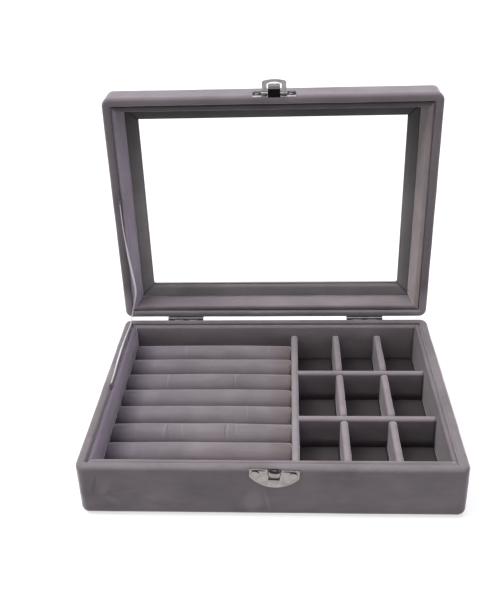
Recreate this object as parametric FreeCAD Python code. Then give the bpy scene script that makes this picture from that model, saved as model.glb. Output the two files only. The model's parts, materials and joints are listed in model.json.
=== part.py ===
"""Velvet jewellery box: a hinged, glazed lid on a tray with ring rolls and nine compartments.

Frame: millimetres, +X to the right, +Y to the back, +Z up. The origin is the centre of the
underside. The lid is modelled closed and then swung open about the hinge line to OPEN_ANGLE,
which is the position the box is stored in.
"""
import FreeCAD, Part
import math
import os

V = FreeCAD.Vector
X_AXIS, Y_AXIS, Z_AXIS = V(1, 0, 0), V(0, 1, 0), V(0, 0, 1)

# ---- driving dimensions -------------------------------------------------------------------
WIDTH, DEPTH = 205.0, 155.0          # outside of the box
BASE_H, LID_H = 32.0, 19.0           # outside heights of the two halves
SEAM_GAP = 0.3                       # between the two velvet rims when the box is shut
LID_SET_BACK = 0.9                   # the lid's front face stands back from the base's
OPEN_ANGLE = 88.0                    # stored position of the lid, from shut

SKIN = 0.6                           # velvet over the boards
BOARD = 4.0                          # wall board
RETURN_SKIN = 0.5                    # velvet turned down inside the wall
GROOVE = 0.4                         # gap between the rim and the liner
LINER = 3.4                          # padded, velvet-covered liner
CORNER_R, RIM_R, FOOT_R, TOP_R = 5.0, 2.2, 4.0, 2.6
GROOVE_INSET = SKIN + BOARD + RETURN_SKIN
LINER_INSET = GROOVE_INSET + GROOVE
INNER_INSET = LINER_INSET + LINER

FELT = 0.6                           # sheet on the underside
FELT_INSET = 8.0
BOTTOM_TOP = 3.8                     # top of the bottom board
FLOOR_TOP = 5.7                      # top of the velvet floor
RETURN_FOOT = 12.0                   # lower edge of the velvet turned into the tray
LINER_DROP = 1.0                     # liner top below the rim
LINER_EDGE_R = 1.5

DIVIDER_T, DIVIDER_TOP = 4.3, 24.8
PARTITION_X = 13.3
GRID_X = (41.1, 68.6)
GRID_Y = (-23.5, 23.5)
FIT = 0.05                           # clearance of slots and loose pieces

ROLL_COUNT, ROLL_PITCH, ROLL_R = 7, 16.93, 8.35
ROLL_TOP, ROLL_BOARD_TOP = 25.2, 9.0

FACING = 1.2                         # card strips round the window, inside the lid
LID_DEPTH = 14.0                     # from the lid's rim to those strips
PANE_T, PANE_LAP = 2.0, 4.0
WINDOW_SIDE, WINDOW_BACK, WINDOW_FRONT = 18.65, 18.0, 17.6
REVEAL_SKIN = 0.5
LINER_SLANT = {"front": 1.5, "back": 0.6, "left": 2.0, "right": 2.6}  # lean of the lid's liners

SHEET = 0.6                          # stamped metal
HINGE_X, HINGE_LENGTH, HINGE_LEAF = 61.0, 24.3, 8.6
HINGE_OUT = 0.45                     # hinge axis behind the back face, in the seam's groove
KNUCKLES, KNUCKLE_GAP = 5, 0.15
KNUCKLE_R, HINGE_PIN_R, HINGE_PLAY = 1.1, 0.55, 0.07

LATCH_X = 2.0
CATCH_W, CATCH_SIDE_Z, CATCH_LOW_Z, CATCH_TOP_Z = 26.0, 26.7, 20.2, 31.8
CATCH_TILT = 3.5                     # the catch sits a little crooked, right side low
CATCH_TILT_Z, CATCH_NAIL_Z = 27.0, 28.4
CATCH_CROWN_W, CATCH_CROWN_Z = 7.8, 32.2    # arched rise of the plate behind the bump
BUMP_W, BUMP_OUT, BUMP_WALL = 7.2, 3.1, 0.6
BUMP_LOW, BUMP_HIGH = 29.2, 31.6
CATCH_SLOT_LOW = 25.0

HASP_W, HASP_H, HASP_LOW = 26.0, 9.0, 32.7
HASP_SINK, HASP_CORNER_R = 0.45, 1.6  # how deep the plate is pressed into the velvet
HASP_AXIS_OUT, HASP_AXIS_Z = 1.3, 33.5
EYE_R, HASP_PIN_R, HASP_PLAY = 0.95, 0.5, 0.05
TONGUE_W, TONGUE_OUT, TONGUE_T, TONGUE_CURL_R = 7.3, 6.8, 0.55, 2.4
TONGUE_CORNER_R, TONGUE_ROOT = 1.0, 0.9
LOOP_W, LOOP_REACH, LOOP_BOW, LOOP_CORNER_R, LOOP_T = 14.5, 8.2, 1.0, 1.4, 0.7
LOOP_SLOT_W, LOOP_SLOT_REACH, LOOP_SLOT_BOW = 8.84, 6.75, 1.2
NOTCH_PLAY = 0.3
PIN_HEAD_R, PIN_HEAD_T = 0.8, 0.3

NAIL_R, NAIL_DOME, NAIL_SHANK_R, NAIL_SHANK = 2.3, 0.8, 0.45, 3.6
HASP_NAIL_EDGE, HASP_NAIL_UP, CATCH_NAIL_EDGE = 2.8, 4.6, 3.05
HINGE_NAIL_R, HINGE_NAIL_DOME = 1.3, 0.5

CORD_D = 1.2                         # limp satin ribbon, as a round tube of its width
RIBBON_T = 0.3

# ---- positions that follow from them ------------------------------------------------------
HALF_W, HALF_D = WIDTH / 2, DEPTH / 2
LID_Z0 = BASE_H + SEAM_GAP
LID_Z1 = LID_Z0 + LID_H
FACING_Z = LID_Z0 + LID_DEPTH
PANE_Z = FACING_Z + FACING
HINGE_Y = HALF_D + HINGE_OUT
HINGE_Z = BASE_H + SEAM_GAP / 2
LID_FRONT = -HALF_D + LID_SET_BACK
HASP_AXIS_Y = LID_FRONT - HASP_AXIS_OUT
BASE_PLAN = (-HALF_W, HALF_W, -HALF_D, HALF_D)
LID_PLAN = (-HALF_W, HALF_W, LID_FRONT, HALF_D)

# The ribbon's route from its end in the base to its end in the lid, chosen by hand.
CORD_ROUTE = [
    (-97.2, -2.0, 33.0), (-97.2, 7.0, 33.0), (-97.8, 21.0, 33.3), (-98.3, 38.0, 33.0),
    (-98.0, 55.0, 33.2), (-97.6, 66.0, 33.0), (-97.3, 71.8, 34.4), (-96.6, 74.0, 39.6),
    (-94.5, 73.8, 47.2), (-92.5, 73.3, 55.6), (-93.6, 73.2, 67.5), (-95.6, 73.6, 83.0),
    (-96.9, 74.0, 98.0), (-97.4, 74.0, 109.0), (-97.4, 74.0, 118.5),
]


# ---- helpers ------------------------------------------------------------------------------
def box(x0, x1, y0, y1, z0, z1):
    return Part.makeBox(x1 - x0, y1 - y0, z1 - z0, V(x0, y0, z0))


def inset_box(plan, inset, z0, z1):
    """A plain box that keeps inset from all four sides of a plan."""
    x0, x1, y0, y1 = plan
    return box(x0 + inset, x1 - inset, y0 + inset, y1 - inset, z0, z1)


def is_flat_at(edge, z):
    return all(abs(v.Point.z - z) < 1e-6 for v in edge.Vertexes)


def rounded_block(plan, inset, z0, z1, corner_r, low_r, high_r):
    """The outside form at some depth below the velvet, with all its edges rounded."""
    block = inset_box(plan, inset, z0, z1)
    upright = [e for e in block.Edges if abs(e.tangentAt(e.FirstParameter).z) > 0.5]
    block = block.makeFillet(corner_r, upright)
    block = block.makeFillet(low_r, [e for e in block.Edges if is_flat_at(e, z0)])
    return block.makeFillet(high_r, [e for e in block.Edges if is_flat_at(e, z1)])


def rod(radius, x0, x1, y, z):
    """A cylinder along X."""
    return Part.makeCylinder(radius, x1 - x0, V(x0, y, z), X_AXIS)


def prism(points, direction, length):
    """An outline of points, pushed along direction."""
    wire = Part.makePolygon([V(*p) for p in points] + [V(*points[0])])
    return Part.Face(wire).extrude(direction * length)


def swing_open(shape):
    """Takes a piece of the closed lid to the stored, open position."""
    moved = shape.copy()
    moved.rotate(V(0, HINGE_Y, HINGE_Z), X_AXIS, -OPEN_ANGLE)
    return moved


def four_sides(ring, plan, inset):
    """Splits a ring into front and back pieces over the full width and sides between them."""
    far = 2 * WIDTH
    front_y, back_y = plan[2] + inset, plan[3] - inset
    front = ring.common(box(-far, far, -far, front_y, -far, far))
    back = ring.common(box(-far, far, back_y, far, -far, far))
    middle = ring.common(box(-far, far, front_y, back_y, -far, far))
    left = middle.common(box(-far, 0, -far, far, -far, far))
    right = middle.common(box(0, far, -far, far, -far, far))
    return {"front": front, "back": back, "left": left, "right": right}


def nail(x, y, z, out, radius, dome):
    """A domed nail driven along Y; out is -1 on the front face and 1 on the back face."""
    sphere_r = (radius ** 2 + dome ** 2) / (2 * dome)
    centre = V(x, y - out * (sphere_r - dome), z)
    cap = Part.makeSphere(sphere_r, centre).common(
        Part.makeCylinder(radius + 1, sphere_r + 1, V(x, y, z), Y_AXIS * out))
    shank = Part.makeCylinder(NAIL_SHANK_R, NAIL_SHANK, V(x, y, z), Y_AXIS * -out)
    return cap.fuse(shank).removeSplitter()


def without(shape, cutters):
    for cutter in cutters:
        shape = shape.cut(cutter)
    return shape


# ---- base: shell --------------------------------------------------------------------------
def base_block():
    return rounded_block(BASE_PLAN, SKIN, SKIN, BASE_H - SKIN, CORNER_R - SKIN,
                         FOOT_R - SKIN, RIM_R - SKIN)


def base_walls():
    ring = base_block().cut(inset_box(BASE_PLAN, SKIN + BOARD, 0, BASE_H))
    return four_sides(ring, BASE_PLAN, SKIN + BOARD)


def base_velvet_cover():
    outside = rounded_block(BASE_PLAN, 0, 0, BASE_H, CORNER_R, FOOT_R, RIM_R)
    skin = outside.cut(base_block())
    skin = skin.cut(inset_box(BASE_PLAN, SKIN + BOARD, 2 * SKIN, BASE_H + 1))
    skin = skin.cut(inset_box(BASE_PLAN, FELT_INSET, -1, 2 * SKIN))
    turned_in = inset_box(BASE_PLAN, SKIN + BOARD, RETURN_FOOT, BASE_H).cut(
        inset_box(BASE_PLAN, GROOVE_INSET, 0, BASE_H + 1))
    return skin.fuse(turned_in).removeSplitter()


def base_liners():
    """Four padded strips that stand on the bottom board, with rounded upper edges."""
    top = BASE_H - LINER_DROP
    strips = {}
    for side, sign in (("front", -1), ("back", 1)):
        y_out, y_in = sign * (HALF_D - LINER_INSET), sign * (HALF_D - INNER_INSET)
        strips[side] = box(-HALF_W + LINER_INSET, HALF_W - LINER_INSET,
                           min(y_out, y_in), max(y_out, y_in), BOTTOM_TOP, top)
    for side, sign in (("left", -1), ("right", 1)):
        x_out, x_in = sign * (HALF_W - LINER_INSET), sign * (HALF_W - INNER_INSET)
        reach = HALF_D - INNER_INSET
        strips[side] = box(min(x_out, x_in), max(x_out, x_in), -reach, reach, BOTTOM_TOP, top)
    for side, strip in strips.items():
        along = X_AXIS if side in ("front", "back") else Y_AXIS
        edges = [e for e in strip.Edges if is_flat_at(e, top)
                 and abs(e.tangentAt(e.FirstParameter).dot(along)) > 0.5]
        strips[side] = strip.makeFillet(LINER_EDGE_R, edges)
    return strips


# ---- base: tray fittings ------------------------------------------------------------------
def divider_along_y(x):
    reach = HALF_D - INNER_INSET - FIT
    r = DIVIDER_T / 2
    board = box(x - r, x + r, -reach, reach, FLOOR_TOP, DIVIDER_TOP - r)
    return board.fuse(Part.makeCylinder(r, 2 * reach, V(x, -reach, DIVIDER_TOP - r), Y_AXIS))


def divider_along_x(y):
    x0, x1 = PARTITION_X + DIVIDER_T / 2 + FIT, HALF_W - INNER_INSET - FIT
    r = DIVIDER_T / 2
    board = box(x0, x1, y - r, y + r, FLOOR_TOP, DIVIDER_TOP - r)
    return board.fuse(rod(r, x0, x1, y, DIVIDER_TOP - r))


def grid_dividers():
    """Two dividers each way, halved into each other like an egg crate."""
    half_slot = DIVIDER_T / 2 + FIT
    middle_z = (FLOOR_TOP + DIVIDER_TOP) / 2
    nodes = {}
    for n, x in enumerate(GRID_X, 1):
        slots = [box(x - DIVIDER_T, x + DIVIDER_T, y - half_slot, y + half_slot,
                     middle_z, BASE_H) for y in GRID_Y]
        nodes[f"grid_divider_long_{n}"] = without(divider_along_y(x), slots).removeSplitter()
    for n, y in enumerate(GRID_Y, 1):
        slots = [box(x - half_slot, x + half_slot, y - DIVIDER_T, y + DIVIDER_T,
                     0, middle_z) for x in GRID_X]
        nodes[f"grid_divider_cross_{n}"] = without(divider_along_x(y), slots).removeSplitter()
    return nodes


def ring_rolls():
    """Soft rolls side by side; rings are held between them."""
    x0 = -HALF_W + INNER_INSET + FIT
    x1 = PARTITION_X - DIVIDER_T / 2 - FIT
    nodes = {}
    for n in range(ROLL_COUNT):
        y = (n - (ROLL_COUNT - 1) / 2) * ROLL_PITCH
        roll = rod(ROLL_R, x0, x1, y, ROLL_TOP - ROLL_R)
        below = box(-WIDTH, WIDTH, -DEPTH, DEPTH, -1, ROLL_BOARD_TOP)
        nodes[f"ring_roll_{n + 1}"] = roll.cut(below)
    reach = ROLL_COUNT * ROLL_PITCH / 2
    nodes["ring_roll_board"] = box(x0, x1, -reach, reach, FLOOR_TOP, ROLL_BOARD_TOP)
    return nodes


# ---- lid, modelled shut -------------------------------------------------------------------
def lid_block():
    return rounded_block(LID_PLAN, SKIN, LID_Z0 + SKIN, LID_Z1 - SKIN, CORNER_R - SKIN,
                         RIM_R - SKIN, TOP_R - SKIN)


def window(grow, z0, z1):
    """The window opening, made larger by grow on every side."""
    return box(-HALF_W + WINDOW_SIDE - grow, HALF_W - WINDOW_SIDE + grow,
               LID_FRONT + WINDOW_FRONT - grow, HALF_D - WINDOW_BACK + grow, z0, z1)


def lid_walls():
    ring = lid_block().cut(inset_box(LID_PLAN, SKIN + BOARD, 0, 2 * LID_Z1))
    ring = ring.cut(inset_box(LID_PLAN, 0, PANE_Z, 2 * LID_Z1))
    return four_sides(ring, LID_PLAN, SKIN + BOARD)


def lid_top_frame():
    """The board round the window, rebated from below for the pane."""
    board = lid_block().common(inset_box(LID_PLAN, 0, PANE_Z, 2 * LID_Z1))
    board = board.cut(window(REVEAL_SKIN, 0, 2 * LID_Z1))
    return board.cut(window(PANE_LAP, 0, PANE_Z + PANE_T))


def lid_velvet_cover():
    outside = rounded_block(LID_PLAN, 0, LID_Z0, LID_Z1, CORNER_R, RIM_R, TOP_R)
    skin = outside.cut(lid_block())
    skin = skin.cut(inset_box(LID_PLAN, SKIN + BOARD, LID_Z0 - 1, LID_Z0 + 2 * SKIN))
    skin = skin.cut(window(0, PANE_Z, 2 * LID_Z1))
    turned_in = inset_box(LID_PLAN, SKIN + BOARD, LID_Z0, FACING_Z - 1).cut(
        inset_box(LID_PLAN, GROOVE_INSET, 0, 2 * LID_Z1))
    reveal = window(REVEAL_SKIN, PANE_Z + PANE_T, LID_Z1 - SKIN).cut(
        window(0, 0, 2 * LID_Z1))
    return skin.fuse([turned_in, reveal]).removeSplitter()


def lid_liners():
    """Four padded strips in the lid; their inner faces lean towards the window."""
    z0, z1 = LID_Z0 + LINER_DROP, FACING_Z
    x_out = HALF_W - LINER_INSET
    y_front, y_back = LID_FRONT + LINER_INSET, HALF_D - LINER_INSET
    strips = {}
    for side, y, s in (("front", y_front, 1), ("back", y_back, -1)):
        thick = LINER + LINER_SLANT[side]
        outline = [(-x_out, y, z0), (-x_out, y + s * LINER, z0),
                   (-x_out, y + s * thick, z1), (-x_out, y, z1)]
        strips[side] = prism(outline, X_AXIS, 2 * x_out)
    for side, x, s in (("left", -x_out, 1), ("right", x_out, -1)):
        thick = LINER + LINER_SLANT[side]
        outline = [(x, y_front, z0), (x + s * LINER, y_front, z0),
                   (x + s * thick, y_front, z1), (x, y_front, z1)]
        strip = prism(outline, Y_AXIS, y_back - y_front)
        strips[side] = strip.cut(strips["front"]).cut(strips["back"])
    return strips


def window_facings():
    """Mitred card strips round the window, on the inside of the lid."""
    x, z = HALF_W - LINER_INSET, FACING_Z
    yf, yb = LID_FRONT + LINER_INSET, HALF_D - LINER_INSET
    wx, wf, wb = HALF_W - WINDOW_SIDE, LID_FRONT + WINDOW_FRONT, HALF_D - WINDOW_BACK
    outlines = {
        "front": [(-x, yf, z), (x, yf, z), (wx, wf, z), (-wx, wf, z)],
        "back": [(x, yb, z), (-x, yb, z), (-wx, wb, z), (wx, wb, z)],
        "left": [(-x, yb, z), (-x, yf, z), (-wx, wf, z), (-wx, wb, z)],
        "right": [(x, yf, z), (x, yb, z), (wx, wb, z), (wx, wf, z)],
    }
    return {side: prism(outline, Z_AXIS, FACING) for side, outline in outlines.items()}


# ---- hinges -------------------------------------------------------------------------------
def knuckle_spans(centre_x, wanted):
    """The X spans of the knuckles whose place is even (base) or odd (lid)."""
    pitch = HINGE_LENGTH / KNUCKLES
    start = centre_x - HINGE_LENGTH / 2
    return [(start + k * pitch + KNUCKLE_GAP / 2, start + (k + 1) * pitch - KNUCKLE_GAP / 2)
            for k in range(KNUCKLES) if k % 2 == wanted]


def hinge_leaf(centre_x, up, holes):
    """One stamped leaf flat on the back face; up is 1 for the lid's leaf, -1 for the base's."""
    wanted = 1 if up > 0 else 0
    bore = HINGE_PIN_R + (HINGE_PLAY if up > 0 else 0)
    half = HINGE_LENGTH / 2
    clear_z = KNUCKLE_R + 3 * KNUCKLE_GAP
    near, far = HINGE_Z + up * clear_z, HINGE_Z + up * HINGE_LEAF
    leaf = box(centre_x - half, centre_x + half, HALF_D, HALF_D + SHEET,
               min(near, far), max(near, far))
    for x0, x1 in knuckle_spans(centre_x, wanted):
        leaf = leaf.fuse(box(x0, x1, HALF_D, HALF_D + SHEET,
                             min(HINGE_Z, near), max(HINGE_Z, near)))
        leaf = leaf.fuse(rod(KNUCKLE_R, x0, x1, HINGE_Y, HINGE_Z))
    leaf = leaf.cut(rod(bore, centre_x - WIDTH, centre_x + WIDTH, HINGE_Y, HINGE_Z))
    return without(leaf.removeSplitter(), holes)


def hinge_nails(up):
    z = HINGE_Z + up * (HINGE_LEAF + KNUCKLE_R) / 2
    return [nail(side * HINGE_X + offset, HALF_D + SHEET, z, 1, HINGE_NAIL_R, HINGE_NAIL_DOME)
            for side in (-1, 1) for offset in (-HINGE_LENGTH / 3.4, HINGE_LENGTH / 3.4)]


def hinge_pin(centre_x):
    half = HINGE_LENGTH / 2
    return rod(HINGE_PIN_R, centre_x - half, centre_x + half, HINGE_Y, HINGE_Z)


# ---- catch on the base --------------------------------------------------------------------
def tilt_catch(shape):
    moved = shape.copy()
    moved.rotate(V(LATCH_X, 0, CATCH_TILT_Z), Y_AXIS, CATCH_TILT)
    return moved


def half_oval(width, out, z0, z1):
    """Half an elliptic column against the catch plate, bulging forward."""
    face_y = -(HALF_D + SHEET)
    column = Part.makeCylinder(width / 2, z1 - z0, V(0, 0, z0))
    squeeze = FreeCAD.Matrix()
    squeeze.scale(1, 2 * out / width, 1)
    column = column.transformGeometry(squeeze)
    column.translate(V(LATCH_X, face_y, 0))
    return column.common(box(-WIDTH, WIDTH, face_y - 2 * out, face_y + SHEET / 2, z0, z1))


def catch_plate(holes):
    """A shield-shaped plate with a hollow bump pressed out of it and a slot below the bump."""
    half = CATCH_W / 2
    y = -(HALF_D + SHEET)
    left, right = LATCH_X - half, LATCH_X + half
    side_low = Part.Arc(V(right, y, CATCH_SIDE_Z), V(LATCH_X, y, CATCH_LOW_Z),
                        V(left, y, CATCH_SIDE_Z)).toShape()
    edges = [
        Part.LineSegment(V(left, y, CATCH_SIDE_Z), V(left, y, CATCH_TOP_Z)).toShape(),
        Part.LineSegment(V(left, y, CATCH_TOP_Z), V(right, y, CATCH_TOP_Z)).toShape(),
        Part.LineSegment(V(right, y, CATCH_TOP_Z), V(right, y, CATCH_SIDE_Z)).toShape(),
        side_low,
    ]
    plate = Part.Face(Part.Wire(edges)).extrude(Y_AXIS * SHEET)
    rise = CATCH_CROWN_Z - CATCH_TOP_Z
    crown_r = (rise ** 2 + (CATCH_CROWN_W / 2) ** 2) / (2 * rise)
    crown = Part.makeCylinder(crown_r, SHEET, V(LATCH_X, y, CATCH_CROWN_Z - crown_r), Y_AXIS)
    plate = plate.fuse(crown.common(box(left, right, y, y + SHEET, CATCH_SIDE_Z, BASE_H + 1)))
    inner_w = BUMP_W - 2 * BUMP_WALL
    bump = half_oval(BUMP_W, BUMP_OUT, BUMP_LOW, BUMP_HIGH)
    hollow = half_oval(inner_w, BUMP_OUT - BUMP_WALL, BUMP_LOW - 1, BUMP_HIGH + 1)
    opening = box(LATCH_X - inner_w / 2, LATCH_X + inner_w / 2, y - 1, y + 2 * SHEET,
                  CATCH_SLOT_LOW, BUMP_HIGH - SHEET)
    plate = plate.cut(opening).fuse(bump.cut(hollow).cut(
        box(-WIDTH, WIDTH, y, 0, 0, BASE_H))).removeSplitter()
    return without(tilt_catch(plate), holes)


def catch_nails():
    return [tilt_catch(nail(LATCH_X + s * (CATCH_W / 2 - CATCH_NAIL_EDGE), -(HALF_D + SHEET),
                            CATCH_NAIL_Z, -1, NAIL_R, NAIL_DOME)) for s in (-1, 1)]


# ---- hasp on the lid, modelled with the lid shut --------------------------------------------
def hasp_sheet():
    """The plate as a sheet that follows the lid's front face and its rounded rim."""
    proud = SHEET - HASP_SINK
    outer = rounded_block(LID_PLAN, -proud, LID_Z0 - proud, LID_Z1 + proud,
                          CORNER_R + proud, RIM_R + proud, TOP_R + proud)
    inner = rounded_block(LID_PLAN, HASP_SINK, LID_Z0 + HASP_SINK, LID_Z1 - HASP_SINK,
                          CORNER_R - HASP_SINK, RIM_R - HASP_SINK, TOP_R - HASP_SINK)
    half = HASP_W / 2
    outline = box(LATCH_X - half, LATCH_X + half, -DEPTH, LID_FRONT + RIM_R,
                  HASP_LOW, HASP_LOW + HASP_H)
    upper = [e for e in outline.Edges if abs(e.tangentAt(e.FirstParameter).y) > 0.5
             and e.Vertexes[0].Point.z > HASP_LOW + HASP_H / 2]
    return outline.makeFillet(HASP_CORNER_R, upper).common(outer).cut(inner)


def hasp_tongue():
    """The blade that stands out from the plate's lower edge, with a curled tip."""
    x0, x1 = LATCH_X - TONGUE_W / 2, LATCH_X + TONGUE_W / 2
    low_z, root_y = HASP_AXIS_Z - EYE_R, LID_FRONT + TONGUE_ROOT
    tip_y = LID_FRONT - TONGUE_OUT
    curl_y, curl_z = tip_y + TONGUE_CURL_R, low_z + TONGUE_CURL_R
    flat = box(x0, x1, curl_y, root_y, low_z, low_z + TONGUE_T)
    curl = rod(TONGUE_CURL_R, x0, x1, curl_y, curl_z).cut(
        rod(TONGUE_CURL_R - TONGUE_T, x0 - 1, x1 + 1, curl_y, curl_z)).common(
        box(x0, x1, tip_y, curl_y, low_z, curl_z))
    plan = box(x0, x1, tip_y, root_y, low_z - 1, curl_z + 1)
    tips = [e for e in plan.Edges if abs(e.tangentAt(e.FirstParameter).z) > 0.5
            and e.Vertexes[0].Point.y < curl_y]
    return flat.fuse(curl).common(plan.makeFillet(TONGUE_CORNER_R, tips))


def hasp_plate(holes):
    """Plate, tongue and centre knuckle, with a window behind each leg of the loop."""
    plate = hasp_sheet()
    low_z, high_z = HASP_LOW + TONGUE_T, HASP_AXIS_Z + EYE_R + NOTCH_PLAY
    for sign in (-1, 1):
        inner = sign * (LOOP_SLOT_W / 2 - NOTCH_PLAY)
        outer = sign * (LOOP_W / 2 + 2 * PIN_HEAD_T)
        plate = plate.cut(box(LATCH_X + min(inner, outer), LATCH_X + max(inner, outer),
                              LID_FRONT - SHEET, LID_FRONT + RIM_R, low_z, high_z))
    half = TONGUE_W / 2
    knuckle = rod(EYE_R, LATCH_X - half, LATCH_X + half, HASP_AXIS_Y, HASP_AXIS_Z)
    whole = plate.fuse([hasp_tongue(), knuckle]).cut(
        rod(HASP_PIN_R, LATCH_X - half - 1, LATCH_X + half + 1, HASP_AXIS_Y, HASP_AXIS_Z))
    return without(whole.removeSplitter(), holes)


def hasp_nails():
    return [nail(LATCH_X + s * (HASP_W / 2 - HASP_NAIL_EDGE), LID_FRONT - SHEET + HASP_SINK,
                 HASP_LOW + HASP_NAIL_UP, -1, NAIL_R, NAIL_DOME) for s in (-1, 1)]


def hasp_pin():
    half = LOOP_W / 2 + KNUCKLE_GAP
    shaft = rod(HASP_PIN_R, LATCH_X - half, LATCH_X + half, HASP_AXIS_Y, HASP_AXIS_Z)
    heads = [rod(PIN_HEAD_R, LATCH_X + a, LATCH_X + a + PIN_HEAD_T, HASP_AXIS_Y, HASP_AXIS_Z)
             for a in (-half - PIN_HEAD_T, half)]
    return shaft.fuse(heads).removeSplitter()


def rounded_tab(width, reach, bow, z0, z1):
    """A flat tab from the hasp's axis forwards, whose far edge bows out by bow."""
    half = width / 2
    far, side = HASP_AXIS_Y - reach, HASP_AXIS_Y - reach + bow
    edges = [
        Part.LineSegment(V(LATCH_X - half, HASP_AXIS_Y, z0), V(LATCH_X - half, side, z0)),
        Part.Arc(V(LATCH_X - half, side, z0), V(LATCH_X, far, z0), V(LATCH_X + half, side, z0)),
        Part.LineSegment(V(LATCH_X + half, side, z0), V(LATCH_X + half, HASP_AXIS_Y, z0)),
        Part.LineSegment(V(LATCH_X + half, HASP_AXIS_Y, z0), V(LATCH_X - half, HASP_AXIS_Y, z0)),
    ]
    wire = Part.Wire([e.toShape() for e in edges])
    return Part.Face(wire).extrude(Z_AXIS * (z1 - z0))


def hasp_loop():
    """The D-shaped loop with an eye on each leg; its slot drops over the catch's bump."""
    z1 = HASP_AXIS_Z + EYE_R
    z0 = z1 - LOOP_T
    tab = rounded_tab(LOOP_W, LOOP_REACH, LOOP_BOW, z0, z1)
    corners = [e for e in tab.Edges if abs(e.tangentAt(e.FirstParameter).z) > 0.5
               and e.Vertexes[0].Point.y < HASP_AXIS_Y - LOOP_REACH / 2]
    tab = tab.makeFillet(LOOP_CORNER_R, corners)
    for sign in (-1, 1):
        inner, outer = sign * LOOP_SLOT_W / 2, sign * LOOP_W / 2
        tab = tab.fuse(rod(EYE_R, LATCH_X + min(inner, outer), LATCH_X + max(inner, outer),
                           HASP_AXIS_Y, HASP_AXIS_Z))
    tab = tab.cut(rod(HASP_PIN_R + HASP_PLAY, -WIDTH, WIDTH, HASP_AXIS_Y, HASP_AXIS_Z))
    slot = rounded_tab(LOOP_SLOT_W, LOOP_SLOT_REACH, LOOP_SLOT_BOW, z0 - 1, z1 + 1)
    back_of_slot = box(LATCH_X - LOOP_SLOT_W / 2, LATCH_X + LOOP_SLOT_W / 2,
                       HASP_AXIS_Y - 1, HASP_AXIS_Y + 2, z0 - 3, z1 + 1)
    return tab.cut(slot).cut(back_of_slot).removeSplitter()


# ---- stay ribbon --------------------------------------------------------------------------
def rounded_route(points):
    """Straight runs joined by tangent arcs; prints the smallest radius and the length."""
    p = [V(*q) for q in points]
    edges, start, radii = [], p[0], []
    for before, here, after in zip(p, p[1:], p[2:]):
        a, b = here - before, after - here
        turn = a.getAngle(b)
        radius = 0.45 * min(a.Length, b.Length) / math.tan(turn / 2)
        back = 0.45 * min(a.Length, b.Length)
        ua, ub = V(a).normalize(), V(b).normalize()
        t0, t1 = here - ua * back, here + ub * back
        to_centre = V(ub - ua).normalize()
        centre = here + to_centre * (radius / math.cos(turn / 2))
        edges.append(Part.LineSegment(start, t0).toShape())
        edges.append(Part.Arc(t0, centre - to_centre * radius, t1).toShape())
        start = t1
        radii.append(round(radius, 1))
    edges.append(Part.LineSegment(start, p[-1]).toShape())
    print("ribbon radii", radii, "length", round(sum(e.Length for e in edges), 1))
    return Part.Wire(edges)


def stay_cord():
    path = rounded_route(CORD_ROUTE)
    start, second = V(*CORD_ROUTE[0]), V(*CORD_ROUTE[1])
    circle = Part.Circle(start, second - start, CORD_D / 2).toShape()
    tube = path.makePipeShell([Part.Wire([circle])], True, True)
    print("ribbon volume", round(tube.Volume, 1), "section x length",
          round(math.pi * CORD_D ** 2 / 4 * path.Length, 1))
    return tube


def stay_end_base():
    """The ribbon's end, folded over and glued down into the base's left groove."""
    x, y, z = CORD_ROUTE[0]
    groove_x = -HALF_W + GROOVE_INSET + GROOVE / 2
    fold = Part.makeCylinder(CORD_D / 2, 2.0, V(x, y - 2.0, z), Y_AXIS)
    tab = box(groove_x - RIBBON_T / 2, groove_x + RIBBON_T / 2, y - 2.0, y, 24.0, z)
    return fold.fuse(tab).removeSplitter()


def stay_end_lid():
    """The other end, folded into the lid's left groove; it is built in the open position."""
    x, y, z = CORD_ROUTE[-1]
    groove_x = -HALF_W + GROOVE_INSET + GROOVE / 2
    fold = Part.makeCylinder(CORD_D / 2, 2.0, V(x, y, z), Z_AXIS)
    tab = box(groove_x - RIBBON_T / 2, groove_x + RIBBON_T / 2, y, y + 9.0, z, z + 2.0)
    return fold.fuse(tab).removeSplitter()


# ---- assembly -----------------------------------------------------------------------------
def base_nodes(catch_pins, hinge_pins_in_base):
    pins = catch_pins + hinge_pins_in_base
    nodes = {f"base_wall_{side}": without(wall, pins) for side, wall in base_walls().items()}
    nodes["base_velvet_cover"] = without(base_velvet_cover(), pins)
    nodes["base_bottom_board"] = inset_box(BASE_PLAN, SKIN + BOARD, SKIN, BOTTOM_TOP)
    nodes["base_underside_felt"] = inset_box(BASE_PLAN, FELT_INSET, 0, FELT)
    nodes.update({f"base_liner_{side}": s for side, s in base_liners().items()})
    nodes["tray_floor_pad"] = inset_box(BASE_PLAN, INNER_INSET, BOTTOM_TOP, FLOOR_TOP)
    nodes["partition_board"] = divider_along_y(PARTITION_X).removeSplitter()
    nodes.update(grid_dividers())
    nodes.update(ring_rolls())
    nodes["catch_plate"] = catch_plate(catch_pins)
    nodes["catch_nails"] = Part.makeCompound(catch_pins)
    nodes["hinge_base_nails"] = Part.makeCompound(hinge_pins_in_base)
    for side, sign in (("left", -1), ("right", 1)):
        nodes[f"hinge_{side}_base_leaf"] = hinge_leaf(sign * HINGE_X, -1, hinge_pins_in_base)
        nodes[f"hinge_{side}_pin"] = hinge_pin(sign * HINGE_X)
    nodes["stay_cord"] = stay_cord()
    nodes["stay_end_base"] = stay_end_base()
    return nodes


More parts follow.
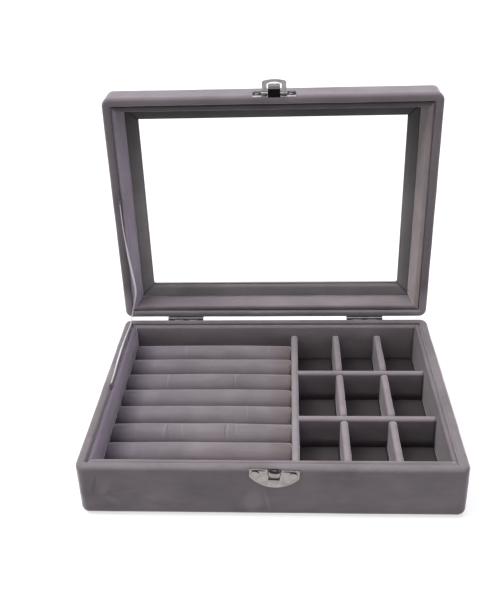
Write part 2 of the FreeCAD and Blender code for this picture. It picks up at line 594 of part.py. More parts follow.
def lid_nodes(hasp_pins, hinge_pins_in_lid):
    pins = hasp_pins + hinge_pins_in_lid
    nodes = {f"lid_wall_{side}": without(wall, pins) for side, wall in lid_walls().items()}
    nodes["lid_velvet_cover"] = without(lid_velvet_cover(),
                                        pins + [hasp_sheet(), hasp_tongue()])
    nodes["lid_top_frame"] = lid_top_frame()
    nodes["lid_window_pane"] = window(PANE_LAP - FIT, PANE_Z, PANE_Z + PANE_T)
    nodes.update({f"lid_liner_{side}": s for side, s in lid_liners().items()})
    nodes.update({f"window_facing_{side}": s for side, s in window_facings().items()})
    for side, sign in (("left", -1), ("right", 1)):
        nodes[f"hinge_{side}_lid_leaf"] = hinge_leaf(sign * HINGE_X, 1, hinge_pins_in_lid)
    nodes["hinge_lid_nails"] = Part.makeCompound(hinge_pins_in_lid)
    nodes["hasp_plate"] = hasp_plate(hasp_pins)
    nodes["hasp_pin"] = hasp_pin()
    nodes["hasp_nails"] = Part.makeCompound(hasp_pins)
    nodes["hasp_loop"] = hasp_loop()
    return {name: swing_open(shape) for name, shape in nodes.items()}


def main():
    os.makedirs("parts", exist_ok=True)
    nodes = base_nodes(catch_nails(), hinge_nails(-1))
    nodes.update(lid_nodes(hasp_nails(), hinge_nails(1)))
    nodes["stay_end_lid"] = stay_end_lid()
    for name, shape in nodes.items():
        if not shape.isValid() or shape.Volume <= 0:
            raise ValueError(f"{name} is not a sound solid")
        shape.exportStep(f"parts/{name}.step")
    print(len(nodes), "nodes")


main()
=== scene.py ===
"""Looks of the velvet jewellery box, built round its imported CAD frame."""
import json
import math

import bmesh
import bpy
import numpy as np
from mathutils import Matrix, Vector


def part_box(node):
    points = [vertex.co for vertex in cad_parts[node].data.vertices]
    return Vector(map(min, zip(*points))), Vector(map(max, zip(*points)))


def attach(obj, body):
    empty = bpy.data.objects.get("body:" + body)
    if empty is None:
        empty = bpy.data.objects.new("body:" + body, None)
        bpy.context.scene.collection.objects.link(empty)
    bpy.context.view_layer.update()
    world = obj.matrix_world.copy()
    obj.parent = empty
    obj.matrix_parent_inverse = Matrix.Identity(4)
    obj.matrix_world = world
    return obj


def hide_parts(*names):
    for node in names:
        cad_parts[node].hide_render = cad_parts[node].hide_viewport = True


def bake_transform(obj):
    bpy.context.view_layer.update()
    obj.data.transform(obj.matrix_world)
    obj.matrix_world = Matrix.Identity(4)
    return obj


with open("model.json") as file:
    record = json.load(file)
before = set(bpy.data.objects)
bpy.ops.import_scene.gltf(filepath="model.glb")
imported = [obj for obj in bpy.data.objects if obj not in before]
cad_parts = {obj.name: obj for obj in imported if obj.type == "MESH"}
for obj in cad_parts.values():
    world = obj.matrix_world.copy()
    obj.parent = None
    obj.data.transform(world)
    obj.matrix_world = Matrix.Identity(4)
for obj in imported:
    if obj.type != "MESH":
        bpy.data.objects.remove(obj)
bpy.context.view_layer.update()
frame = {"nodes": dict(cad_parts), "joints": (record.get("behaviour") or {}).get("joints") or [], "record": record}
NODES = frame["nodes"]
MM = 0.001

# ---- sizes in millimetres, the same as the CAD's ------------------------------------------
HALF_W, HALF_D = 102.5, 77.5
LID_FRONT = -76.6
BASE_H, LID_Z0, LID_Z1 = 32.0, 32.3, 51.3
FACING_Z, PANE_Z, PANE_TOP = 46.3, 47.5, 49.5
CORNER_R, RIM_R, FOOT_R, TOP_R = 5.0, 2.2, 4.0, 2.6
INNER_RIM_R = 1.5
GROOVE_INSET, LINER_INSET, LINER = 5.1, 5.5, 3.4
FLOOR_TOP, FELT_INSET = 5.7, 8.0
PARTITION_X, GRID_X, GRID_Y = 13.3, (41.1, 68.6), (-23.5, 23.5)
DIVIDER_T, DIVIDER_TOP = 4.3, 24.8
INNER_X, INNER_Y = HALF_W - 8.9, HALF_D - 8.9
WINDOW = (-HALF_W + 18.65, HALF_W - 18.65, LID_FRONT + 17.6, HALF_D - 18.0)
BASE_PLAN = (-HALF_W, HALF_W, -HALF_D, HALF_D)
LID_PLAN = (-HALF_W, HALF_W, LID_FRONT, HALF_D)
OPEN_ANGLE = math.radians(-88.0)
LATCH_X, LATCH_TILT = 2.0, math.radians(3.5)
HINGE = [v / MM for v in next(j for j in frame["joints"] if j["name"] == "lid_hinge")["pos_m"]]


# ---- camera, floor and light --------------------------------------------------------------
CAMERA_PLACE = (0.0110103, -0.4050434, 0.3077552)
YAW, PITCH, ROLL = -0.0623, 0.4671, -0.0339
LENS, SENSOR, SHIFT_X, SHIFT_Y = 48.6966, 36, 0.00786667, -0.03778333
STAGE_HALF, STAGE_Z = 30.0, -0.0002


def make_camera():
    forward = Vector((math.sin(YAW) * math.cos(PITCH), math.cos(YAW) * math.cos(PITCH),
                      -math.sin(PITCH)))
    level = Vector((math.cos(YAW), -math.sin(YAW), 0))
    upright = level.cross(forward)
    right = level * math.cos(ROLL) + upright * math.sin(ROLL)
    up = upright * math.cos(ROLL) - level * math.sin(ROLL)
    data = bpy.data.cameras.new("camera")
    cam = bpy.data.objects.new("camera", data)
    bpy.context.scene.collection.objects.link(cam)
    rows = zip(right, up, -forward, CAMERA_PLACE)
    cam.matrix_world = Matrix([*rows, (0, 0, 0, 1)])
    data.sensor_width, data.lens = SENSOR, LENS
    data.shift_x, data.shift_y = SHIFT_X, SHIFT_Y
    data.clip_start, data.clip_end = 0.01, 50
    bpy.context.scene.camera = cam


def sun_light(name, toward, strength, spread, colour):
    """A wide soft light that falls along toward."""
    data = bpy.data.lights.new(name, "SUN")
    data.energy, data.angle, data.color = strength, math.radians(spread), colour
    lamp = bpy.data.objects.new(name, data)
    bpy.context.scene.collection.objects.link(lamp)
    lamp.rotation_euler = Vector(toward).to_track_quat("-Z", "Y").to_euler()


def make_stage():
    mesh = bpy.data.meshes.new("floor")
    s, z = STAGE_HALF, STAGE_Z
    mesh.from_pydata([(-s, -s, z), (s, -s, z), (s, s, z), (-s, s, z)], [], [(0, 1, 2, 3)])
    floor = bpy.data.objects.new("floor", mesh)
    bpy.context.scene.collection.objects.link(floor)
    mat, bsdf = new_material("floor_white")
    bsdf.inputs["Base Color"].default_value = (0.24, 0.24, 0.24, 1)
    bsdf.inputs["Emission Color"].default_value = (1, 0.995, 1, 1)
    bsdf.inputs["Emission Strength"].default_value = 0.70
    bsdf.inputs["Roughness"].default_value = 0.9
    bsdf.inputs["Specular IOR Level"].default_value = 0.1
    mesh.materials.append(mat)
    world = bpy.data.worlds.new("world")
    bpy.context.scene.world = world
    world.use_nodes = True
    tree = world.node_tree
    around = tree.nodes.new("ShaderNodeTexCoord").outputs["Generated"]
    sky = ramp_node(tree, split(tree, around)["Z"],
                    [(0.0, (1, 1, 1)), (0.16, (1, 1, 1)), (0.30, (0.2, 0.2, 0.205)),
                     (1.0, (0.26, 0.257, 0.26))])
    tree.links.new(sky, tree.nodes["Background"].inputs["Color"])
    sun_light("key", (0.60, 0.0, -0.85), 3.5, 32, (1.0, 0.98, 0.975))
    sun_light("top", (0.05, -0.12, -1.0), 4.1, 55, (0.985, 0.97, 1.0))
    sun_light("side", (-0.85, 0.25, -0.4), 0.5, 60, (0.82, 0.74, 1.0))
    bpy.context.scene.view_settings.view_transform = "Standard"


# ---- shader nodes -------------------------------------------------------------------------
def new_material(name):
    mat = bpy.data.materials.new(name)
    mat.use_nodes = True
    return mat, mat.node_tree.nodes["Principled BSDF"]


def object_coord(tree):
    return tree.nodes.new("ShaderNodeTexCoord").outputs["Object"]


def split(tree, vector):
    node = tree.nodes.new("ShaderNodeSeparateXYZ")
    tree.links.new(vector, node.inputs["Vector"])
    return node.outputs


def map_range(tree, value, low=0.0, high=1.0, to_low=0.0, to_high=1.0):
    node = tree.nodes.new("ShaderNodeMapRange")
    limits = {"From Min": low, "From Max": high, "To Min": to_low, "To Max": to_high}
    for socket, number in limits.items():
        node.inputs[socket].default_value = number
    tree.links.new(value, node.inputs["Value"])
    return node.outputs["Result"]


def combine(tree, operation, a, b):
    node = tree.nodes.new("ShaderNodeMath")
    node.operation = operation
    tree.links.new(a, node.inputs[0])
    tree.links.new(b, node.inputs[1])
    return node.outputs["Value"]


def noise_node(tree, coord, scale, detail=2.0, rough=0.5, stretch=None):
    node = tree.nodes.new("ShaderNodeTexNoise")
    node.inputs["Scale"].default_value = scale
    node.inputs["Detail"].default_value = detail
    node.inputs["Roughness"].default_value = rough
    if stretch:
        mapping = tree.nodes.new("ShaderNodeMapping")
        mapping.inputs["Scale"].default_value = stretch
        tree.links.new(coord, mapping.inputs["Vector"])
        coord = mapping.outputs["Vector"]
    tree.links.new(coord, node.inputs["Vector"])
    return node.outputs["Fac"]


def ramp_node(tree, fac, stops):
    node = tree.nodes.new("ShaderNodeValToRGB")
    ramp = node.color_ramp
    while len(ramp.elements) < len(stops):
        ramp.elements.new(0.5)
    for element, (place, colour) in zip(ramp.elements, stops):
        element.position = place
        element.color = (*colour, 1)
    tree.links.new(fac, node.inputs["Fac"])
    return node.outputs["Color"]


def mix_colour(tree, fac, a, b, mode="MIX"):
    node = tree.nodes.new("ShaderNodeMix")
    node.data_type, node.blend_type = "RGBA", mode
    for socket, value in (("Factor", fac), ("A", a), ("B", b)):
        target = next(i for i in node.inputs if i.name == socket
                      and i.type == ("VALUE" if socket == "Factor" else "RGBA"))
        if isinstance(value, bpy.types.NodeSocket):
            tree.links.new(value, target)
        elif socket == "Factor":
            target.default_value = value
        else:
            target.default_value = (*value, 1)
    return next(o for o in node.outputs if o.type == "RGBA")


def bump_node(tree, heights, normal_in):
    """heights: (socket, distance in metres, strength), laid over one another."""
    previous = None
    for socket, distance, strength in heights:
        node = tree.nodes.new("ShaderNodeBump")
        node.inputs["Distance"].default_value = distance
        node.inputs["Strength"].default_value = strength
        tree.links.new(socket, node.inputs["Height"])
        if previous is not None:
            tree.links.new(previous, node.inputs["Normal"])
        previous = node.outputs["Normal"]
    tree.links.new(previous, normal_in)


def facing_mask(tree, direction, low, high):
    """0 to 1 as the cosine between the surface normal and direction goes from low to high."""
    dot = tree.nodes.new("ShaderNodeVectorMath")
    dot.operation = "DOT_PRODUCT"
    tree.links.new(tree.nodes.new("ShaderNodeNewGeometry").outputs["Normal"], dot.inputs[0])
    dot.inputs[1].default_value = direction
    return map_range(tree, dot.outputs["Value"], low, high)


def mark_mask(tree, coord, centre, size, angle, strength):
    """A soft-edged patch: an ellipsoid of these mm, turned about Y by angle in degrees."""
    mapping = tree.nodes.new("ShaderNodeMapping")
    mapping.vector_type = "TEXTURE"
    mapping.inputs["Location"].default_value = [v * MM for v in centre]
    mapping.inputs["Rotation"].default_value = (0, math.radians(angle), 0)
    mapping.inputs["Scale"].default_value = [v * MM for v in size]
    tree.links.new(coord, mapping.inputs["Vector"])
    gradient = tree.nodes.new("ShaderNodeTexGradient")
    gradient.gradient_type = "SPHERICAL"
    tree.links.new(mapping.outputs["Vector"], gradient.inputs["Vector"])
    ramp = tree.nodes.new("ShaderNodeValToRGB")
    ramp.color_ramp.interpolation = "EASE"
    ramp.color_ramp.elements[1].position = 0.65
    ramp.color_ramp.elements[1].color = (strength, strength, strength, 1)
    tree.links.new(gradient.outputs["Color"], ramp.inputs["Fac"])
    return ramp.outputs["Color"]


def box_mask(tree, coord, low, high, soft):
    """1 inside the box from low to high, in mm, falling to 0 within soft mm."""
    xyz = split(tree, coord)
    total = None
    for axis, a, b in zip("XYZ", low, high):
        for edge, toward in ((a, 1), (b, -1)):
            share = map_range(tree, xyz[axis], (edge - toward * soft) * MM, edge * MM)
            total = share if total is None else combine(tree, "MULTIPLY", total, share)
    return total


# ---- materials ----------------------------------------------------------------------------
def two_tones(base, low, high):
    return [(0.3, tuple(base * low)), (0.7, tuple(base * high))]


def sheen_shaded_below(tree, coord, sheen, low, high, front):
    """Sheen that fades out from high down to low, in mm, but not in front of front; this is
    painted shade, the low parts losing their sheen.
    """
    xyz = split(tree, coord)
    shares = [map_range(tree, xyz[axis], start * MM, end * MM, to_high=sheen)
              for axis, start, end in (("Z", low, high), ("Y", front, front - 1.0))]
    return combine(tree, "MAXIMUM", *shares)


def velvet(name, colour, sheen=1.0, nap=0.2, marks=(), along=None, turned=None, fade=None):
    """Short pile: brushed patches, a fine grain, and sheen at grazing angles.

    marks: (centre, size, angle, strength, tone) of a brushed patch of pile, and in places of painted
    shade; along: (axis, low, high, stops) of painted light and shade along an axis, in mm; turned:
    (direction, low, high, scale) paints shade on the faces that look that way and takes much of their
    sheen away; fade: (low, high, front) of painted shade in valleys, where the sheen fades out.
    """
    mat, bsdf = new_material(name)
    tree = mat.node_tree
    coord = object_coord(tree)
    base = np.array(colour)
    patches = noise_node(tree, coord, 38, 3.0, 0.55)
    streaks = noise_node(tree, coord, 160, 2.0, 0.6, (0.35, 1.0, 1.0))
    grain = noise_node(tree, coord, 4200, 2.0, 0.7)
    tone = ramp_node(tree, patches, [(0.32, tuple(base * (1 - nap))), (0.5, tuple(base)),
                                     (0.70, tuple(base * (1 + nap)))])
    tone = mix_colour(tree, 0.35, tone,
                      ramp_node(tree, streaks, two_tones(base, 1 - nap, 1 + nap)))
    tone = mix_colour(tree, 0.25, tone, ramp_node(tree, grain, two_tones(base, 0.55, 1.5)))
    bsdf.inputs["Sheen Weight"].default_value = sheen
    # Painted light and shade along an axis.
    if along:
        axis, low, high, stops = along
        share = map_range(tree, split(tree, coord)[axis], low * MM, high * MM)
        tone = mix_colour(tree, 1.0, tone, ramp_node(tree, share, stops), "MULTIPLY")
    # Painted shade: the faces that look along direction are darkened and lose much of their sheen.
    if turned:
        direction, low, high, scale = turned
        shaded_side = facing_mask(tree, direction, low, high)
        tone = mix_colour(tree, shaded_side, tone, (scale,) * 3, "MULTIPLY")
        shaded_side_sheen = map_range(tree, shaded_side, to_low=sheen, to_high=sheen * scale * scale)
        tree.links.new(shaded_side_sheen, bsdf.inputs["Sheen Weight"])
    # Painted shade: the sheen fades out below a height.
    if fade:
        tree.links.new(sheen_shaded_below(tree, coord, sheen, *fade), bsdf.inputs["Sheen Weight"])
    for *patch, level in marks:
        tone = mix_colour(tree, mark_mask(tree, coord, *patch), tone, tuple(base * level))
    tree.links.new(tone, bsdf.inputs["Base Color"])
    bsdf.inputs["Roughness"].default_value = 0.92
    bsdf.inputs["Specular IOR Level"].default_value = 0.15
    bsdf.inputs["Sheen Roughness"].default_value = 0.3
    bsdf.inputs["Sheen Tint"].default_value = (0.93, 0.87, 0.93, 1)
    bump_node(tree, [(streaks, 0.0002, 0.35), (grain, 0.00012, 0.55)], bsdf.inputs["Normal"])
    return mat


def nickel(name, tones, tongue=False, rim=False, marks=()):
    """Cloudy plated steel, from the darker to the brighter of tones.

    tongue: painted shade on the hasp's tongue, near black, and painted light on its curl, a dull
    lighter grey; rim: a painted dark reflection, a crescent where a nail head turns up and to the
    right; marks: (centre, size, angle, strength) of painted shade in grooves.
    """
    mat, bsdf = new_material(name)
    tree = mat.node_tree
    coord = object_coord(tree)
    cloudy = noise_node(tree, coord, 350, 3.0, 0.6)
    fine = noise_node(tree, coord, 2600, 2.0, 0.6, (1.0, 1.0, 0.2))
    tone = ramp_node(tree, cloudy, [(0.3, tones[0]), (0.7, tones[1])])
    rough = map_range(tree, fine, to_low=0.08, to_high=0.18)
    # Painted shade: the tongue's face near black; painted light: its curl a dull, lighter grey.
    if tongue:
        low, high = (np.array(v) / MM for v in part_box("hasp_plate"))
        front, edge = low[1] + 1.0, high[2] - 2.8
        curl = box_mask(tree, coord, (-1.8, 0, edge), (5.8, front + 4, 999), 0.1)
        tone = mix_colour(tree, curl, tone, (0.2, 0.19, 0.19))
        face = box_mask(tree, coord, (-1.75, 0, 0), (5.75, front, edge), 0.1)
        tone = mix_colour(tree, face, tone, (0.006, 0.005, 0.005))
        rough = map_range(tree, curl, to_low=0.12, to_high=0.6)
    # Painted shade in the grooves.
    for mark in marks:
        groove_shade = mark_mask(tree, coord, *mark)
        tone = mix_colour(tree, groove_shade, tone, (0.03, 0.026, 0.026))
    # Painted reflection: a dark crescent where the nail head turns up and to the right.
    if rim:
        crescent = facing_mask(tree, (0.42, 0, 0.91), 0.28, 0.5)
        tone = mix_colour(tree, crescent, tone, (0.02, 0.017, 0.017))
    tree.links.new(tone, bsdf.inputs["Base Color"])
    tree.links.new(rough, bsdf.inputs["Roughness"])
    bsdf.inputs["Metallic"].default_value = 1.0
    bump_node(tree, [(cloudy, 0.0002, 0.25), (fine, 0.00003, 0.3)], bsdf.inputs["Normal"])
    return mat


def glass(name):
    mat, bsdf = new_material(name)
    tree = mat.node_tree
    smear = noise_node(tree, object_coord(tree), 25, 2.0, 0.5)
    tree.links.new(map_range(tree, smear, to_low=0.01, to_high=0.05), bsdf.inputs["Roughness"])
    bsdf.inputs["Base Color"].default_value = (0.97, 0.985, 0.985, 1)
    bsdf.inputs["Transmission Weight"].default_value = 1.0
    bsdf.inputs["IOR"].default_value = 1.45
    bsdf.inputs["Alpha"].default_value = 0.25
    return mat


def satin(name, tone_scale):
    mat, bsdf = new_material(name)
    tree = mat.node_tree
    threads = noise_node(tree, object_coord(tree), 5200, 1.0, 0.5)
    shades = [(place, tuple(np.array(shade) * tone_scale))
              for place, shade in ((0.3, (0.74, 0.73, 0.77)), (0.7, (0.90, 0.89, 0.92)))]
    tree.links.new(ramp_node(tree, threads, shades), bsdf.inputs["Base Color"])
    bsdf.inputs["Roughness"].default_value = 0.35
    bsdf.inputs["Sheen Weight"].default_value = 0.3
    bump_node(tree, [(threads, 0.00004, 0.5)], bsdf.inputs["Normal"])
    return mat


def board(name, colour, grain_scale):
    mat, bsdf = new_material(name)
    tree = mat.node_tree
    fibres = noise_node(tree, object_coord(tree), grain_scale, 4.0, 0.65, (1.0, 1.0, 0.3))
    tree.links.new(ramp_node(tree, fibres, two_tones(np.array(colour), 0.7, 1.2)),
                   bsdf.inputs["Base Color"])
    bsdf.inputs["Roughness"].default_value = 0.85
    bump_node(tree, [(fibres, 0.0001, 0.4)], bsdf.inputs["Normal"])
    return mat


def tint(r, g, b):
    """The velvet's own tone, scaled; the lighter and darker copies are painted light and shade."""
    return (VELVET_TONE[0] * r, VELVET_TONE[1] * g, VELVET_TONE[2] * b)


def grey_stops(stops):
    return [(place, (level,) * 3) for place, level in stops]


VELVET_TONE = (0.112, 0.099, 0.106)
NICKEL = ((0.225, 0.203, 0.196), (0.335, 0.303, 0.294))
FRONT = -HALF_D
# Brushed and crushed patches of the pile, and a painted shadow above the catch plate:
# (centre, size, angle, strength, tone).
COVER_NAP_AND_SHADOW_MARKS = [
    ((-9.0, FRONT, 11.0), (7.0, 5, 10.5), 14, 0.5, 1.5),
    ((-2.0, FRONT, 11.0), (1.6, 5, 9.0), -12, 0.35, 1.6),
    ((14.0, FRONT, 9.0), (12.0, 5, 6.0), 0, 0.2, 1.3),
    ((48.0, FRONT, 14.0), (20.0, 5, 10.0), 10, 0.2, 1.3),
    ((-32.0, FRONT, 10.0), (16.0, 5, 8.0), -10, 0.22, 0.8),
    ((-93.0, FRONT, 20.0), (1.4, 6, 9.0), 14, 0.5, 0.6),
    ((-88.0, FRONT, 18.0), (3.4, 5, 8.0), 25, 0.42, 1.4),
    ((-84.0, FRONT, 10.0), (7.0, 5, 3.0), 30, 0.35, 1.35),
    ((-60.0, FRONT, 8.0), (11.0, 5, 2.4), 14, 0.3, 0.75),
    ((70.0, FRONT, 10.0), (15.0, 5, 3.0), -8, 0.28, 1.3),
    ((-74.0, FRONT, 16.0), (9.0, 5, 2.2), -12, 0.25, 1.3),
    # Painted shadow above the catch plate, where the plate stands off the velvet.
    ((2.0, FRONT, 29.8), (14.5, 4, 1.5), 3.5, 0.9, 0.25)]
# Thin lines across the rolls, near their creases: the light ones brushed pile, the dark ones
# painted shade in the creases: (x, y, angle, tone).
ROLL_BRUSH_AND_SHADE_MARKS = [((x, y, 21.0), (0.55, 9, 9), angle, 0.75, tone) for x, y, angle, tone in (
    (-58.0, 50.8, 2, 1.6), (-3.6, 50.8, 0, 1.5), (-66.0, 17.0, 8, 1.55), (-23.0, 17.0, -4, 1.5),
    (-15.0, -17.0, 6, 1.45), (-62.0, -33.9, 14, 1.6), (-58.0, -33.9, -16, 0.45),
    (-49.0, -33.9, -22, 1.5), (-26.5, -33.9, 0, 0.4), (-25.2, -33.9, 3, 1.6),
    (-19.0, -33.9, -14, 1.4))]
# Shading along a roll, from the shaded left end to the right end.
ROLL_ENDS = ("X", -92.2, 11.1, [
    (0.0, (0.20, 0.18, 0.24)), (0.055, (0.32, 0.30, 0.37)), (0.15, (0.88, 0.87, 0.92)),
    (0.5, (1, 1, 1)), (0.86, (0.97, 0.96, 0.95)), (1.0, (0.74, 0.70, 0.63))])
ROLL_VALLEY_SHADE = (14.5, 20.5, -53.0)      # painted shade: no sheen in the valleys, except on the front roll's face
# Painted light and shade on the window facings: lighter near the foot of the open lid, darker towards its top.
FACING_LIGHT_AND_SHADE = ("Z", 55.0, 186.0, grey_stops(
    [(0.0, 1.36), (0.4, 1.3), (0.62, 0.9), (0.85, 0.5), (1.0, 0.25)]))
# Painted light and shade on the lid's side strips: lighter near the foot of the open lid, darker towards its top.
LID_SIDE_LIGHT_AND_SHADE = ("Z", 45.0, 190.0, grey_stops([(0.0, 1.14), (0.4, 1.0), (0.7, 0.86), (1.0, 0.6)]))
# Painted light on the lid's cover near its foot, by the hinge.
LID_FOOT_PAINTED_LIGHT = ("Z", 34.0, 56.0, grey_stops([(0.0, 1.6), (0.6, 1.5), (1.0, 1.0)]))
# Painted shade in the gap between the rim and the left and right padded strips, along their outer edges.
LEFT_GAP_SHADE = ("X", -97.0, -93.6, grey_stops([(0.0, 0.25), (0.12, 0.35), (0.32, 1.0)]))
RIGHT_GAP_SHADE = ("X", 93.6, 97.0, grey_stops([(0.66, 1.0), (0.86, 0.3), (1.0, 0.2)]))
UP, LEFTWARD = (0, 0, 1), (-1, 0, 0)

plate_low, plate_high = (np.array(v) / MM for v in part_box("catch_plate"))
# The folded upper edge of the catch: painted shade in the grooves on both sides of the bump.
CATCH_GROOVE_SHADE = [((plate_low[0] + across, plate_high[1],
                  plate_high[2] - 0.95 - across * math.tan(LATCH_TILT)),
                 (6.0, 3, 0.75), math.degrees(LATCH_TILT), 0.9) for across in (4.6, 21.2)]

M = {
    "velvet": velvet("velvet", VELVET_TONE, nap=0.3, marks=COVER_NAP_AND_SHADOW_MARKS),
    # The lid's cover: the velvet painted lighter, painted light, and lighter still near its foot.
    "lid_cover": velvet("lid_cover", tint(1.12, 1.12, 1.14), along=LID_FOOT_PAINTED_LIGHT),
    "velvet_padding": velvet("velvet_padding", tint(1.02, 1.0, 1.0), sheen=0.85),
    # The dividers: the velvet painted lighter, painted light, and painted shade on their left-facing sides.
    "velvet_board": velvet("velvet_board", tint(1.28, 1.27, 1.27), sheen=0.75,
                           turned=(LEFTWARD, 0.72, 0.97, 0.55)),
    # The rolls: brushed lines, and painted shade at their ends, in their creases and in their valleys.
    "roll_velvet": velvet("roll_velvet", tint(1.0, 1.0, 1.0), nap=0.28, fade=ROLL_VALLEY_SHADE,
                          marks=ROLL_BRUSH_AND_SHADE_MARKS, along=ROLL_ENDS),
    # The base's padded strips: the velvet painted lighter and more purple on the left, lighter at the back and
    # darker and browner on the right, painted light and shade; painted shade in the gap by the rim and on the
    # faces turned from the light.
    "liner_left": velvet("liner_left", tint(1.62, 1.52, 1.82), sheen=0.55, along=LEFT_GAP_SHADE,
                         turned=(UP, 0.3, 0.9, 0.5)),
    "liner_right": velvet("liner_right", tint(0.92, 0.89, 0.88), sheen=0.7, along=RIGHT_GAP_SHADE,
                          turned=(LEFTWARD, 0.25, 0.9, 0.62)),
    "liner_back": velvet("liner_back", tint(1.65, 1.63, 1.60), turned=(UP, 0.3, 0.9, 0.62)),
    # The compartments' floors: the velvet painted dark, with little sheen, painted shade in the deep cells.
    "floor_velvet": velvet("floor_velvet", tint(0.22, 0.21, 0.21), sheen=0.06),
    # The lid's padded strips: the velvet painted darker at the front and lighter at the sides and back, painted
    # light and shade.
    "lid_front": velvet("lid_front", tint(0.6, 0.6, 0.6), sheen=0.62),
    "lid_left": velvet("lid_left", tint(2.1, 2.06, 2.32), along=LID_SIDE_LIGHT_AND_SHADE),
    "lid_right": velvet("lid_right", tint(2.1, 2.02, 1.88), along=LID_SIDE_LIGHT_AND_SHADE),
    "lid_padding": velvet("lid_padding", tint(1.5, 1.5, 1.5)),
    # The window facings, with little sheen and painted light and shade by height; also the rolls' board.
    "dark_velvet": velvet("dark_velvet", (0.140, 0.133, 0.134), sheen=0.08, along=FACING_LIGHT_AND_SHADE),
    "dark_board": board("dark_board", (0.07, 0.065, 0.063), 700),
    "felt": board("felt", (0.05, 0.048, 0.05), 900),
    "board": board("board", (0.42, 0.31, 0.20), 700),
    "pane": glass("window_pane"),
    "satin_ribbon": satin("satin_ribbon", 0.8),
    # The ribbon's tucked ends: the same satin painted nearly black, painted shade.
    "ribbon_tuck_painted_shade": satin("ribbon_tuck_painted_shade", 0.07),
    "nickel_plate": nickel("nickel_plate", NICKEL),
    "catch_metal": nickel("catch_metal", NICKEL, marks=CATCH_GROOVE_SHADE),
    # Nail heads with a painted dark reflection on their upper right.
    "nail_metal": nickel("nail_metal", NICKEL, rim=True),
    # The hasp: painted shade on its tongue and painted light on the tongue's curl.
    "hasp_metal": nickel("hasp_metal", ((0.075, 0.070, 0.073), (0.12, 0.112, 0.116)),
                         tongue=True),
    "loop_metal": nickel("loop_metal", ((0.19, 0.18, 0.18), (0.285, 0.272, 0.272))),
    "hinge_metal": nickel("hinge_metal", ((0.12, 0.115, 0.12), (0.22, 0.21, 0.215))),
}


# ---- mesh helpers -------------------------------------------------------------------------
def open_lid(points):
    """Points of the shut lid, in mm, taken to the stored open place."""
    points = np.array(points, float)
    dy, dz = points[:, 1] - HINGE[1], points[:, 2] - HINGE[2]
    c, s = math.cos(OPEN_ANGLE), math.sin(OPEN_ANGLE)
    return np.stack([points[:, 0], HINGE[1] + dy * c - dz * s, HINGE[2] + dy * s + dz * c], 1)


def field(points, size, seed):
    """A smooth random field, mostly from -1 to 1, whose features are about size mm wide."""
    rng = np.random.default_rng(seed)
    total = np.zeros(len(points))
    for _ in range(7):
        d = rng.normal(size=3)
        d /= np.linalg.norm(d)
        total += np.sin(points @ d * (2 * math.pi / (size * rng.uniform(0.7, 1.6)))
                        + rng.uniform(0, 2 * math.pi))
    return total / 4.0


def smooth_mesh(name, points, faces, material):
    """A smooth object in the scene, from points in metres."""
    mesh = bpy.data.meshes.new(name)
    mesh.from_pydata(points.tolist(), [], faces)
    mesh.validate()
    obj = bpy.data.objects.new(name, mesh)
    bpy.context.scene.collection.objects.link(obj)
    mesh.materials.append(M[material])
    mesh.polygons.foreach_set("use_smooth", [True] * len(mesh.polygons))
    bm = bmesh.new()
    bm.from_mesh(mesh)
    bmesh.ops.recalc_face_normals(bm, faces=bm.faces)
    bm.to_mesh(mesh)
    bm.free()
    return obj


def add_piece(name, points, faces, body, slot, replaces, in_lid=False, material=None):
    """A visual piece from points in mm; in_lid takes them from the shut lid to the open one."""
    points = np.array(points, float).reshape(-1, 3)
    if in_lid:
        points = open_lid(points)
    obj = smooth_mesh(name, points * MM, faces, material or slot)
    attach(obj, body)
    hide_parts(*replaces)
    return obj


def plan_ring(plan, r, step=1.6, corner_n=8):
    """Points round a rounded rectangle; the same count for every inset of one outline."""
    x0, x1, y0, y1 = plan
    nx, ny = int(2 * HALF_W / step), int(2 * HALF_D / step)
    out = []
    sides = [((x0 + r, y0), (x1 - r, y0), nx, (x1 - r, y0 + r), -90),
             ((x1, y0 + r), (x1, y1 - r), ny, (x1 - r, y1 - r), 0),
             ((x1 - r, y1), (x0 + r, y1), nx, (x0 + r, y1 - r), 90),
             ((x0, y1 - r), (x0, y0 + r), ny, (x0 + r, y0 + r), 180)]
    for a, b, n, centre, start in sides:
        for k in range(n):
            t = k / n
            out.append((a[0] + (b[0] - a[0]) * t, a[1] + (b[1] - a[1]) * t))
        for k in range(corner_n):
            angle = math.radians(start + 90 * k / corner_n)
            out.append((centre[0] + r * math.cos(angle), centre[1] + r * math.sin(angle)))
    return np.array(out)


def inset_plan(plan, inset):
    return (plan[0] + inset, plan[1] - inset, plan[2] + inset, plan[3] - inset)


def arc(centre, r, start, end, n):
    return [(centre[0] + r * math.cos(math.radians(start + (end - start) * k / n)),
             centre[1] + r * math.sin(math.radians(start + (end - start) * k / n)))
            for k in range(n + 1)]


def line(a, b, n):
    return [(a[0] + (b[0] - a[0]) * k / n, a[1] + (b[1] - a[1]) * k / n) for k in range(n)]


def loop_faces(rows, cols, wrap_rows=True):
    faces = []
    for i in range(rows if wrap_rows else rows - 1):
        for j in range(cols):
            a, b = i * cols + j, i * cols + (j + 1) % cols
            c, d = ((i + 1) % rows) * cols + (j + 1) % cols, ((i + 1) % rows) * cols + j
            faces.append((a, b, c, d))
    return faces


def tube_faces(rows, cols):
    """Faces of a closed tube: its rings joined up, and a cap over each end."""
    last = (rows - 1) * cols
    return loop_faces(rows, cols, wrap_rows=False) + [
        tuple(range(cols))[::-1], tuple(range(last, last + cols))]


